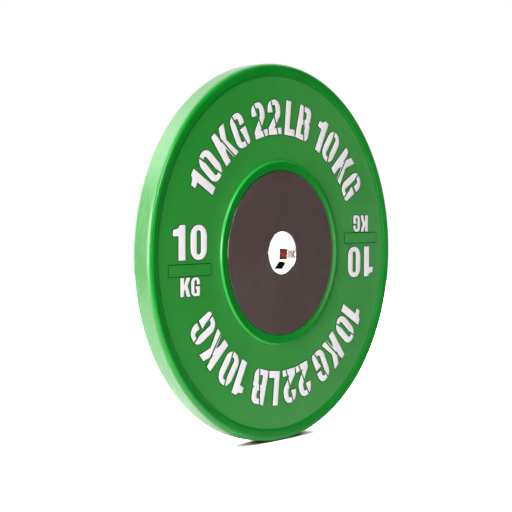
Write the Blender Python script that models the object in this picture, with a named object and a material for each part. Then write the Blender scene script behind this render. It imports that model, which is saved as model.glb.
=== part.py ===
"""Competition weight plate, 10 kg: a rubber ring moulded on a steel core, with a bolted steel hub.

Every piece is turned about its own +Z axis, with the front of the plate at +Z. The empty
"plate" then stands the whole plate on its tread: the axis lies along Y and the front faces -Y.
All sizes are in metres.
"""
import math

import bmesh
import bpy

# Rubber ring
OUTER_RADIUS = 0.2250
RIM_THICKNESS = 0.0270
RIM_CORNER_RADIUS = 0.0038
RIM_WIDTH = 0.0138
RIM_STEP_WIDTH = 0.0015
RIM_STEP_HEIGHT = 0.0008
RIM_LEDGE_WIDTH = 0.0020
WEB_THICKNESS = 0.0226
LIP_CREST_OFFSET = 0.0093
LIP_SLOPE_WIDTH = 0.0042
LIP_THICKNESS = 0.0268
LIP_INNER_DROP = 0.0011

# Hub discs and bore
HUB_RADIUS = 0.0981
HUB_THICKNESS = 0.0260
FLANGE_THICKNESS = 0.0060
DISC_BEVEL = 0.0005
SPIGOT_RADIUS = 0.0450
BORE_RADIUS = 0.0252
BUSH_WALL = 0.0012
BUSH_CHAMFER = 0.0008

# Steel core ring and the rubber keys through its flange
CORE_FLANGE_REACH = 0.0212
CORE_FLANGE_THICKNESS = 0.0094
KEY_COUNT = 12
KEY_LAND = 0.00545

# Countersunk socket screws, and the tapped bosses that take them
SCREW_COUNT = 8
SCREW_RADIUS = 0.0040
SCREW_LENGTH = 0.0200
SCREW_HEAD_RADIUS = 0.0080
SCREW_HEAD_EDGE = 0.0005
SCREW_TIP_CHAMFER = 0.0006
SOCKET_ACROSS_FLATS = 0.0050
SOCKET_DEPTH = 0.0028
BOSS_RADIUS = 0.0080
BOSS_LENGTH = 0.0080
TAPPED_HOLE_RUNOUT = 0.0015

# Calibration plugs and slugs
PLUG_COUNT = 2
PLUG_RADIUS = 0.0100
PLUG_BEVEL = 0.0004
PLUG_SOCKET_ACROSS_FLATS = 0.0080
PLUG_SOCKET_DEPTH = 0.0030
SLUG_RADIUS = 0.0090
SLUG_LENGTH = 0.0110

# Fits
CLEARANCE = 0.0003
FACE_RECESS = 0.0002
CUT_OVERSHOOT = 0.0020

# Facets round each turned piece
PLATE_STEPS = 72
BUSH_STEPS = 36
SMALL_STEPS = 16
KEY_STEPS = 8
SOCKET_SIDES = 6
CORNER_STEPS = 4
LIP_STEPS = 4
SLOPE_STEPS = 2
SHARP_ANGLE = math.radians(28)

# Colour, roughness and metallic value of each material
FINISHES = {
    "green_rubber": ((0.026, 0.262, 0.040), 0.42, 0.0),
    "dark_plate": ((0.080, 0.055, 0.050), 0.45, 0.6),
    "bright_steel": ((0.780, 0.780, 0.770), 0.18, 1.0),
    "raw_steel": ((0.300, 0.300, 0.310), 0.50, 1.0),
    "screw_steel": ((0.120, 0.120, 0.125), 0.40, 1.0),
}

RIM_FACE = RIM_THICKNESS / 2
FIELD_FACE = WEB_THICKNESS / 2
LIP_FACE = LIP_THICKNESS / 2
HUB_FACE = HUB_THICKNESS / 2
FLANGE_BACK = HUB_FACE - FLANGE_THICKNESS
CORE_FACE = FLANGE_BACK - CLEARANCE
BUSH_RADIUS = BORE_RADIUS + BUSH_WALL
DISC_BORE_RADIUS = BUSH_RADIUS + CLEARANCE
POCKET_RADIUS = HUB_RADIUS + CLEARANCE
LIP_CREST_RADIUS = HUB_RADIUS + LIP_CREST_OFFSET
LIP_FOOT_RADIUS = LIP_CREST_RADIUS + LIP_SLOPE_WIDTH
HALF_SEAM = CLEARANCE / 2
CORE_FLANGE_RADIUS = HUB_RADIUS + CORE_FLANGE_REACH
KEY_CIRCLE_RADIUS = (POCKET_RADIUS + CORE_FLANGE_RADIUS) / 2
KEY_RADIUS = (CORE_FLANGE_RADIUS - POCKET_RADIUS) / 2 - KEY_LAND
SCREW_CIRCLE_RADIUS = (SPIGOT_RADIUS + HUB_RADIUS) / 2


def clear_scene():
    """Remove whatever the scene holds."""
    for item in list(bpy.data.objects):
        bpy.data.objects.remove(item, do_unlink=True)


def make_materials():
    """One Principled material for each finish."""
    made = {}
    for name, (colour, roughness, metallic) in FINISHES.items():
        material = bpy.data.materials.new(name)
        material.use_nodes = True
        shader = material.node_tree.nodes["Principled BSDF"]
        shader.inputs["Base Color"].default_value = (*colour, 1.0)
        shader.inputs["Roughness"].default_value = roughness
        shader.inputs["Metallic"].default_value = metallic
        material.diffuse_color = (*colour, 1.0)
        made[name] = material
    return made


def arc(centre, radius, start, end, steps):
    """Points of an arc in the (radius, height) plane, from start to end in degrees."""
    points = []
    for i in range(steps + 1):
        angle = math.radians(start + (end - start) * i / steps)
        points.append((centre[0] + radius * math.cos(angle), centre[1] + radius * math.sin(angle)))
    return points


def ease(start, end, steps):
    """Points of an S curve between two points, level at both ends, without its first point."""
    points = []
    for i in range(1, steps + 1):
        share = i / steps
        rise = (1 - math.cos(math.pi * share)) / 2
        points.append((start[0] + (end[0] - start[0]) * share, start[1] + (end[1] - start[1]) * rise))
    return points


def turned(outline, steps, closed=True):
    """Turn an outline of (radius, height) points about Z, facets outside its true circles.

    A closed outline goes out along the top, down the outer side and back along the bottom. An
    open one starts and ends on the axis.
    """
    stretch = 1 / math.cos(math.pi / steps)
    bm = bmesh.new()
    start = math.pi / steps
    verts = []
    for radius, height in outline:
        reach = radius * stretch
        verts.append(bm.verts.new((reach * math.cos(start), reach * math.sin(start), height)))
    pairs = list(zip(verts, verts[1:]))
    if closed:
        pairs.append((verts[-1], verts[0]))
    edges = [bm.edges.new(pair) for pair in pairs]
    bmesh.ops.spin(bm, geom=verts + edges, cent=(0, 0, 0), axis=(0, 0, 1), dvec=(0, 0, 0),
                   angle=2 * math.pi, steps=steps, use_merge=True)
    bmesh.ops.remove_doubles(bm, verts=bm.verts[:], dist=1e-6)
    bmesh.ops.recalc_face_normals(bm, faces=bm.faces[:])
    return bm


def hexagon(across_flats, low, high):
    """An upright hexagonal prism, for sockets."""
    bm = bmesh.new()
    reach = across_flats / 2 / math.cos(math.pi / SOCKET_SIDES)
    bmesh.ops.create_cone(bm, cap_ends=True, segments=SOCKET_SIDES, radius1=reach, radius2=reach,
                          depth=high - low)
    bmesh.ops.translate(bm, verts=bm.verts[:], vec=(0, 0, (high + low) / 2))
    return bm


def finish_mesh(name, bm, material=None):
    """Store a bmesh as a smooth-shaded mesh with its sharp edges kept."""
    mesh = bpy.data.meshes.new(name)
    bm.to_mesh(mesh)
    bm.free()
    mesh.shade_smooth()
    mesh.set_sharp_from_angle(angle=SHARP_ANGLE)
    if material:
        mesh.materials.append(material)
    return mesh


def place(name, mesh, plate, spot=(0, 0, 0)):
    """An object of the mesh, carried by the plate's empty."""
    item = bpy.data.objects.new(name, mesh)
    bpy.context.scene.collection.objects.link(item)
    item.parent = plate
    item.location = spot
    return item


def combine(target, name, bm, plate, operation, spots):
    """Cut or join one tool that holds a copy of the shape at each spot."""
    corners = bm.verts[:]
    shape = corners + bm.edges[:] + bm.faces[:]
    for spot in spots[1:]:
        copy = bmesh.ops.duplicate(bm, geom=shape)["geom"]
        moved = [item for item in copy if isinstance(item, bmesh.types.BMVert)]
        bmesh.ops.translate(bm, verts=moved, vec=spot)
    bmesh.ops.translate(bm, verts=corners, vec=spots[0])
    tool = place(f"{target.name}_{name}", finish_mesh(name, bm), plate)
    tool.hide_render = True
    tool.display_type = "WIRE"
    step = target.modifiers.new(name, "BOOLEAN")
    step.operation = operation
    step.solver = "EXACT"
    step.object = tool


def ring_of_spots(count, radius, offset=0.0):
    """Centres spread evenly on a circle; the offset is a share of one pitch."""
    spots = []
    for i in range(count):
        angle = 2 * math.pi * (i + offset) / count
        spots.append((radius * math.cos(angle), radius * math.sin(angle), 0))
    return spots


def mirrored(points):
    """The same points on the back of the plate, in the order that goes back inward."""
    return [(radius, -height) for radius, height in reversed(points)]


def face_outline():
    """The front of the rubber ring, from the hub pocket out to the middle of the tread."""
    field_edge = OUTER_RADIUS - RIM_WIDTH
    ledge_inner = field_edge + RIM_STEP_WIDTH
    ledge_outer = ledge_inner + RIM_LEDGE_WIDTH
    ledge_face = FIELD_FACE + RIM_STEP_HEIGHT
    crest = (OUTER_RADIUS - RIM_CORNER_RADIUS, RIM_FACE)
    corner = (OUTER_RADIUS - RIM_CORNER_RADIUS, RIM_FACE - RIM_CORNER_RADIUS)
    points = [(POCKET_RADIUS, LIP_FACE - LIP_INNER_DROP)]
    points += ease(points[-1], (LIP_CREST_RADIUS, LIP_FACE), SLOPE_STEPS)
    points += ease(points[-1], (LIP_FOOT_RADIUS, FIELD_FACE), LIP_STEPS)
    points.append((field_edge, FIELD_FACE))
    points.append((ledge_inner, ledge_face))
    points.append((ledge_outer, ledge_face))
    points += ease(points[-1], crest, SLOPE_STEPS)
    points += arc(corner, RIM_CORNER_RADIUS, 90, 0, CORNER_STEPS)[1:]
    return points


def make_rubber_body(plate, materials):
    """The moulded ring: both faces, the groove for the core's flange and the keys across it."""
    face = face_outline()
    groove_face = CORE_FLANGE_THICKNESS / 2 + CLEARANCE
    groove_radius = CORE_FLANGE_RADIUS + CLEARANCE
    groove = [(POCKET_RADIUS, -groove_face), (groove_radius, -groove_face),
              (groove_radius, groove_face), (POCKET_RADIUS, groove_face)]
    outline = face + mirrored(face) + groove
    body = place("rubber_body", finish_mesh("rubber_body", turned(outline, PLATE_STEPS),
                                            materials["green_rubber"]), plate)
    reach = groove_face + CUT_OVERSHOOT
    key = [(0, reach), (KEY_RADIUS - CLEARANCE, reach), (KEY_RADIUS - CLEARANCE, -reach), (0, -reach)]
    combine(body, "key", turned(key, KEY_STEPS, closed=False), plate, "UNION",
            ring_of_spots(KEY_COUNT, KEY_CIRCLE_RADIUS))


def screw_spots():
    """Centres of the screws, half a pitch round from the X axis."""
    return ring_of_spots(SCREW_COUNT, SCREW_CIRCLE_RADIUS, 0.5)


def plug_spots():
    """Centres of the calibration plugs, opposite each other on the screw circle."""
    return ring_of_spots(PLUG_COUNT, SCREW_CIRCLE_RADIUS)


def boss_end():
    """Height of the free end of the tapped bosses."""
    return FLANGE_BACK - BOSS_LENGTH


def make_core_ring(plate, materials):
    """The steel ring between the discs: a thick hub and a thinner, holed flange in the rubber."""
    flange_face = CORE_FLANGE_THICKNESS / 2
    inner = SPIGOT_RADIUS + CLEARANCE
    outline = [(inner, CORE_FACE), (HUB_RADIUS, CORE_FACE), (HUB_RADIUS, flange_face),
               (CORE_FLANGE_RADIUS, flange_face)]
    outline += mirrored(outline)
    core = place("core_ring", finish_mesh("core_ring", turned(outline, PLATE_STEPS),
                                          materials["raw_steel"]), plate)
    reach = CORE_FACE + CUT_OVERSHOOT
    shoulder = boss_end() - CLEARANCE
    boss_hole = [(0, reach), (BOSS_RADIUS + CLEARANCE, reach), (BOSS_RADIUS + CLEARANCE, shoulder),
                 (SCREW_RADIUS + CLEARANCE, shoulder), (SCREW_RADIUS + CLEARANCE, -reach),
                 (0, -reach)]
    combine(core, "boss_hole", turned(boss_hole, SMALL_STEPS, closed=False), plate, "DIFFERENCE",
            screw_spots())
    key_hole = [(0, reach), (KEY_RADIUS, reach), (KEY_RADIUS, -reach), (0, -reach)]
    combine(core, "key_hole", turned(key_hole, KEY_STEPS, closed=False), plate, "DIFFERENCE",
            ring_of_spots(KEY_COUNT, KEY_CIRCLE_RADIUS))
    floor = slug_low() + SLUG_LENGTH + CLEARANCE
    slug_hole = [(0, floor), (SLUG_RADIUS + CLEARANCE, floor),
                 (SLUG_RADIUS + CLEARANCE, -reach), (0, -reach)]
    combine(core, "slug_hole", turned(slug_hole, SMALL_STEPS, closed=False), plate, "DIFFERENCE",
            plug_spots())


def disc_outline():
    """A hub disc with its face up: bevelled edge, flat flange and the spigot to the mid plane."""
    return [(DISC_BORE_RADIUS, HUB_FACE), (HUB_RADIUS - DISC_BEVEL, HUB_FACE),
            (HUB_RADIUS, HUB_FACE - DISC_BEVEL), (HUB_RADIUS, FLANGE_BACK),
            (SPIGOT_RADIUS, FLANGE_BACK), (SPIGOT_RADIUS, HALF_SEAM),
            (DISC_BORE_RADIUS, HALF_SEAM)]


def make_front_disc(plate, materials):
    """The plain front disc, with a tapped boss on its back for each screw."""
    disc = place("front_disc", finish_mesh("front_disc", turned(disc_outline(), PLATE_STEPS),
                                           materials["dark_plate"]), plate)
    root = FLANGE_BACK + CUT_OVERSHOOT
    boss = [(0, root), (BOSS_RADIUS, root), (BOSS_RADIUS, boss_end()), (0, boss_end())]
    combine(disc, "boss", turned(boss, SMALL_STEPS, closed=False), plate, "UNION",
            screw_spots())
    depth = screw_tip() + TAPPED_HOLE_RUNOUT
    mouth = boss_end() - CUT_OVERSHOOT
    tapped_radius = SCREW_RADIUS + CLEARANCE
    tapped = [(0, depth), (tapped_radius, depth), (tapped_radius, mouth), (0, mouth)]
    combine(disc, "tapped_hole", turned(tapped, SMALL_STEPS, closed=False), plate, "DIFFERENCE",
            screw_spots())


def make_rear_disc(plate, materials):
    """The rear disc, with a countersunk hole for each screw and a hole for each plug."""
    outline = mirrored(disc_outline())
    disc = place("rear_disc", finish_mesh("rear_disc", turned(outline, PLATE_STEPS),
                                          materials["dark_plate"]), plate)
    head = SCREW_HEAD_RADIUS + CLEARANCE
    shank = SCREW_RADIUS + CLEARANCE
    edge = -HUB_FACE + FACE_RECESS + SCREW_HEAD_EDGE
    low = -HUB_FACE - CUT_OVERSHOOT
    high = -FLANGE_BACK + CUT_OVERSHOOT
    sink = [(0, high), (shank, high), (shank, edge + head - shank), (head, edge), (head, low),
            (0, low)]
    combine(disc, "countersink", turned(sink, SMALL_STEPS, closed=False), plate, "DIFFERENCE",
            screw_spots())
    plug = PLUG_RADIUS + CLEARANCE
    hole = [(0, high), (plug, high), (plug, low), (0, low)]
    combine(disc, "plug_hole", turned(hole, SMALL_STEPS, closed=False), plate, "DIFFERENCE",
            plug_spots())


def make_bushes(plate, materials):
    """The bright bore bushes, one from each face, which meet at the mid plane."""
    outline = [(BORE_RADIUS + BUSH_CHAMFER, HUB_FACE), (BUSH_RADIUS, HUB_FACE),
               (BUSH_RADIUS, HALF_SEAM), (BORE_RADIUS, HALF_SEAM),
               (BORE_RADIUS, HUB_FACE - BUSH_CHAMFER)]
    for name, shape in (("front_bush", outline), ("rear_bush", mirrored(outline))):
        place(name, finish_mesh(name, turned(shape, BUSH_STEPS), materials["bright_steel"]), plate)


def screw_tip():
    """Height of the screws' tips, measured from their heads just under the rear face."""
    return -HUB_FACE + FACE_RECESS + SCREW_LENGTH


def make_screws(plate, materials):
    """Countersunk screws from the rear, each with a hexagon socket."""
    top = -HUB_FACE + FACE_RECESS
    edge = top + SCREW_HEAD_EDGE
    tip = screw_tip()
    outline = [(0, tip), (SCREW_RADIUS - SCREW_TIP_CHAMFER, tip),
               (SCREW_RADIUS, tip - SCREW_TIP_CHAMFER),
               (SCREW_RADIUS, edge + SCREW_HEAD_RADIUS - SCREW_RADIUS),
               (SCREW_HEAD_RADIUS, edge), (SCREW_HEAD_RADIUS, top), (0, top)]
    mesh = finish_mesh("hub_screw", turned(outline, SMALL_STEPS, closed=False),
                       materials["screw_steel"])
    for number, spot in enumerate(screw_spots(), 1):
        screw = place(f"hub_screw_{number}", mesh, plate, spot)
        socket = hexagon(SOCKET_ACROSS_FLATS, top - CUT_OVERSHOOT, top + SOCKET_DEPTH)
        combine(screw, "socket", socket, plate, "DIFFERENCE", [spot])


def slug_low():
    """Height of the slugs' outer ends, just behind the plugs."""
    return -FLANGE_BACK + CLEARANCE


def make_calibration(plate, materials):
    """A threaded plug in the rear disc and the slug behind it, at each calibration hole."""
    face = -HUB_FACE + FACE_RECESS
    plug_outline = [(0, -FLANGE_BACK), (PLUG_RADIUS, -FLANGE_BACK), (PLUG_RADIUS, face + PLUG_BEVEL),
                    (PLUG_RADIUS - PLUG_BEVEL, face), (0, face)]
    plug_mesh = finish_mesh("calibration_plug", turned(plug_outline, SMALL_STEPS, closed=False),
                            materials["screw_steel"])
    low = slug_low()
    slug_outline = [(0, low + SLUG_LENGTH), (SLUG_RADIUS, low + SLUG_LENGTH), (SLUG_RADIUS, low),
                    (0, low)]
    slug_mesh = finish_mesh("calibration_weight", turned(slug_outline, SMALL_STEPS, closed=False),
                            materials["raw_steel"])
    for number, spot in enumerate(plug_spots(), 1):
        plug = place(f"calibration_plug_{number}", plug_mesh, plate, spot)
        socket = hexagon(PLUG_SOCKET_ACROSS_FLATS, face - CUT_OVERSHOOT, face + PLUG_SOCKET_DEPTH)
        combine(plug, "socket", socket, plate, "DIFFERENCE", [spot])
        place(f"calibration_weight_{number}", slug_mesh, plate, spot)


def build():
    """Make every piece and stand the plate up."""
    clear_scene()
    materials = make_materials()
    plate = bpy.data.objects.new("plate", None)
    bpy.context.scene.collection.objects.link(plate)
    plate.rotation_euler = (math.radians(90), 0, 0)
    make_rubber_body(plate, materials)
    make_core_ring(plate, materials)
    make_front_disc(plate, materials)
    make_rear_disc(plate, materials)
    make_bushes(plate, materials)
    make_screws(plate, materials)
    make_calibration(plate, materials)
    bpy.context.view_layer.update()


build()
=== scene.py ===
"""Looks of a 10 kg competition weight plate: rubber ring, hub, raised figures, light, camera.

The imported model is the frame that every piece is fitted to. Its +Y runs along the bore from the
front face to the rear face, +Z is up, and all sizes are in metres. A depth is a distance from
the plate's mid plane towards the front, so the front face lies at Y = -depth.
"""
import logging
import math
from dataclasses import dataclass, field
from enum import Enum

import bmesh
import bpy
import numpy as np
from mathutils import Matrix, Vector


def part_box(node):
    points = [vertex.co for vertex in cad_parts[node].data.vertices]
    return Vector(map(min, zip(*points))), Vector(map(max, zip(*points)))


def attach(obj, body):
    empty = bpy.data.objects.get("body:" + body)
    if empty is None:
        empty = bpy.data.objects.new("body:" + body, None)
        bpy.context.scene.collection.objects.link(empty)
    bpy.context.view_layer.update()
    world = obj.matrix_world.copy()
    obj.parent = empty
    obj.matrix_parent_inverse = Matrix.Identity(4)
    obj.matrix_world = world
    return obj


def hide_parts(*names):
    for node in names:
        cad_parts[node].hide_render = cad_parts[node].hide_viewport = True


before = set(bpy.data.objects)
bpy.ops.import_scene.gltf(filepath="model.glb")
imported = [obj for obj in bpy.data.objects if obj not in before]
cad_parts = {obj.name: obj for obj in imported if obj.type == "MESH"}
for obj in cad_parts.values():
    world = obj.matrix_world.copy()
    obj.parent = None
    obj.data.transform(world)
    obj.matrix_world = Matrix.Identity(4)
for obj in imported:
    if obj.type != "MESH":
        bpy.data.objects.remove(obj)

Triple = tuple[float, float, float]
Object = bpy.types.Object
Material = bpy.types.Material
Socket = bpy.types.NodeSocket
Solid = bmesh.types.BMesh
Row = list[tuple[Solid, np.ndarray]]

LOG = logging.getLogger("weight_plate")
BODY = "root"
PHOTO_PIXELS = 512
FIELD_DEPTH = 0.0113    # of the sunk field, which the figures stand on
BEYOND = 1.0            # a radius past every piece
SHARP_TURN = 32.0       # degrees past which an edge stays sharp
CUT_OVERRUN = 0.002     # how far a cutting tool starts before the metal and ends behind it
MITRE_LIMIT = 0.35      # a mitre is at most one over this as long as the inset
HAIR = 1e-7             # a distance too small to see, for cuts
NOTHING = 1e-9          # a length that counts as none
STRAIGHT = 1e-6         # the least turn of a corner, in radians
FRONT_TO_REAR = np.array([1.0, -1.0])


class Effect(Enum):
    """The shader effects that several finishes share."""

    MOTTLE = "mottle"
    SKIN = "moulded_skin"
    TURNING = "turning_marks"
    SCUFFS = "scuffs"
    RING = "ring_mask"


class Side(Enum):
    """The two faces of the plate; the value turns a front piece into its place."""

    FRONT = 1.0
    REAR = -1.0


def unit(vectors: np.ndarray) -> np.ndarray:
    """Vectors scaled to length one."""
    return vectors / np.linalg.norm(vectors, axis=-1, keepdims=True)


def filleted(corners: list[Triple], steps: int = 6) -> np.ndarray:
    """Round the corners of a closed outline.

    A corner (x, y, r) becomes an arc of radius r that touches both of its sides. With h half
    the corner's angle, the arc's centre lies r / sin(h) along the bisector, its ends lie
    r / tan(h) along the sides, and the points between are the spherical blend of the two end
    directions. A corner with r = 0 stays one point.

    Args:
        corners: The outline's corners in order, each with its radius.
        steps: Segments of each arc.

    Returns:
        The rounded outline, one row per point.
    """
    table = np.array(corners, float)
    spots, radii = table[:, :2], table[:, 2]
    back = unit(np.roll(spots, 1, axis=0) - spots)
    ahead = unit(np.roll(spots, -1, axis=0) - spots)
    half = np.arccos(np.clip((back * ahead).sum(1), -1, 1)) / 2
    swing = np.maximum(np.pi - 2 * half, STRAIGHT)
    bisector = back + ahead
    length = np.linalg.norm(bisector, axis=1)
    bisector = bisector / np.where(length < NOTHING, 1.0, length)[:, None]
    centre = spots + bisector * (radii / np.sin(half))[:, None]
    first = spots + back * (radii / np.tan(half))[:, None] - centre
    last = spots + ahead * (radii / np.tan(half))[:, None] - centre
    share = np.linspace(0, 1, steps + 1)[None, :, None]
    turn = swing[:, None, None]
    arcs = (np.sin((1 - share) * turn) * first[:, None] + np.sin(share * turn) * last[:, None])
    arcs = arcs / np.sin(turn) + centre[:, None]
    keep = (radii[:, None] > 0) | (np.arange(steps + 1)[None, :] == 0)
    arcs[radii == 0] = spots[radii == 0][:, None]
    return arcs[keep]


def eased(start: tuple[float, float], end: tuple[float, float], steps: int) -> np.ndarray:
    """Points of an S curve, level at both ends, without its first point.

    The first coordinate moves evenly and the second by half of 1 - cos(pi * share).

    Args:
        start: The curve's first point.
        end: Its last point.
        steps: Segments of the curve.

    Returns:
        The points, one row each.
    """
    share = np.linspace(0, 1, steps + 1)[1:]
    rise = (1 - np.cos(np.pi * share)) / 2
    return np.stack([start[0] + (end[0] - start[0]) * share,
                     start[1] + (end[1] - start[1]) * rise], axis=1)


def hexagon_reach(angles: np.ndarray) -> np.ndarray:
    """Distance to a hexagon's edge at each angle, where its flats lie at distance one.

    The angle is folded into one sixth of a turn about a flat's middle, and the reach is
    one over its cosine.

    Args:
        angles: The angles, in radians.

    Returns:
        The distance at each of them.
    """
    folded = np.mod(angles, np.pi / 3) - np.pi / 6
    return 1 / np.cos(folded)


def turned(profile: np.ndarray, steps: int, hexed: np.ndarray | None = None
           ) -> tuple[np.ndarray, list[list[int]]]:
    """Turn a profile of (radius, depth) points about the bore's axis.

    The point of row i at angle a is (R cos a, -depth, R sin a), where R is the profile's
    radius, stretched towards a hexagon by the row's share. A profile that starts and ends on
    the axis is closed by its two poles, and any other is a closed loop.

    Args:
        profile: Points in the (radius, depth) plane.
        steps: Segments round the axis.
        hexed: How far each row is a hexagon, from 0 to 1.

    Returns:
        The vertices and the faces, which point outwards.
    """
    angles = 2 * np.pi * np.arange(steps) / steps
    share = np.zeros(len(profile)) if hexed is None else hexed
    radius = profile[:, :1] * (1 + share[:, None] * (hexagon_reach(angles)[None] - 1))
    spots = np.stack([radius * np.cos(angles), np.broadcast_to(-profile[:, 1:2], radius.shape),
                      radius * np.sin(angles)], axis=2)
    poles = profile[0, 0] < NOTHING and profile[-1, 0] < NOTHING
    rings = spots[1:-1] if poles else spots
    index = np.arange(len(rings) * steps).reshape(len(rings), steps)
    upper = index[:-1] if poles else index
    lower = index[1:] if poles else np.roll(index, -1, axis=0)
    quads = np.stack([upper, np.roll(upper, -1, axis=1), np.roll(lower, -1, axis=1), lower],
                     axis=2).reshape(-1, 4)
    vertices = rings.reshape(-1, 3)
    triangles = np.zeros((0, 3), int)
    if poles:
        vertices = np.concatenate([vertices, spots[0, :1], spots[-1, :1]])
        top, foot = len(vertices) - 2, len(vertices) - 1
        ends = np.full(steps, top), np.full(steps, foot)
        triangles = np.concatenate([
            np.stack([ends[0], np.roll(index[0], -1), index[0]], axis=1),
            np.stack([ends[1], index[-1], np.roll(index[-1], -1)], axis=1)])
    fan = np.concatenate([quads[:, [0, 1, 2]], quads[:, [0, 2, 3]], triangles])
    # The volume under the faces comes out negative where they point inwards.
    a, b, c = (vertices[fan[:, i]] for i in range(3))
    if np.einsum("ij,ij->i", a, np.cross(b, c)).sum() < 0:
        quads, triangles = quads[:, ::-1], triangles[:, ::-1]
    return vertices, quads.tolist() + triangles.tolist()


def rod(radius: float, low: float, high: float) -> np.ndarray:
    """The profile of a plain rod between two depths."""
    return np.array([(0, low), (radius, low), (radius, high), (0, high)])


def make_object(name: str, vertices: np.ndarray, faces: list[list[int]],
                sharp: float = SHARP_TURN) -> Object:
    """Store vertices and faces as a smooth-shaded object with its sharp edges kept.

    Args:
        name: The piece's name.
        vertices: One row per vertex, in the model's frame.
        faces: Vertex numbers of each face.
        sharp: Edges that turn by more than this many degrees stay sharp.

    Returns:
        The linked object.
    """
    mesh = bpy.data.meshes.new(name)
    mesh.from_pydata(vertices.tolist(), [], faces)
    return link_mesh(name, mesh, sharp)


def link_mesh(name: str, mesh: bpy.types.Mesh, sharp: float = SHARP_TURN) -> Object:
    """Shade a mesh and put it into the scene as an object at the origin.

    Args:
        name: The object's name.
        mesh: Its mesh.
        sharp: Edges that turn by more than this many degrees stay sharp.

    Returns:
        The linked object.
    """
    mesh.update()
    mesh.shade_smooth()
    mesh.set_sharp_from_angle(angle=math.radians(sharp))
    return linked(name, mesh)


def linked(name: str, data: bpy.types.ID) -> Object:
    """Put a mesh, lamp or camera into the scene.

    Args:
        name: The object's name.
        data: What the object shows.

    Returns:
        The object.
    """
    made = bpy.data.objects.new(name, data)
    bpy.context.scene.collection.objects.link(made)
    return made


def aimed(name: str, data: bpy.types.ID, spot: Vector, way: Vector) -> Object:
    """Stand a lamp or the camera at a spot and aim it.

    Args:
        name: The object's name.
        data: The lamp or camera.
        spot: Where it stands.
        way: The direction from what it looks at to where it stands.

    Returns:
        The object.
    """
    made = linked(name, data)
    made.location = spot
    made.rotation_euler = (-way).to_track_quat("-Z", "Y").to_euler()
    return made


def machined(name: str, body: Object, cutters: list[tuple[str, Object]]) -> Object:
    """Join tools to a body, or cut them from it, and keep the result as one new mesh.

    Args:
        name: The finished piece's name.
        body: The object to work on, which is used up.
        cutters: Pairs of a Boolean operation and the tool for it, which are used up.

    Returns:
        The finished object.
    """
    for operation, tool in cutters:
        step = body.modifiers.new("work", "BOOLEAN")
        step.operation = operation
        step.solver = "EXACT"
        step.object = tool
    graph = bpy.context.evaluated_depsgraph_get()
    mesh = bpy.data.meshes.new_from_object(body.evaluated_get(graph))
    mesh.name = name
    for used in [body] + [tool for _, tool in cutters]:
        bpy.data.objects.remove(used, do_unlink=True)
    return link_mesh(name, mesh)


def tool_at(profile: np.ndarray, steps: int, spots: list[tuple[float, float]]) -> Object:
    """One tool that holds a turned shape at several spots.

    Args:
        profile: The shape's (radius, depth) points.
        steps: Segments round its axis.
        spots: The (X, Z) place of each copy.

    Returns:
        The tool.
    """
    vertices, faces = turned(profile, steps)
    moved = [vertices + np.array([x, 0.0, z]) for x, z in spots]
    copied = [[corner + number * len(vertices) for corner in face]
              for number in range(len(spots)) for face in faces]
    return make_object("tool", np.concatenate(moved), copied)


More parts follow.
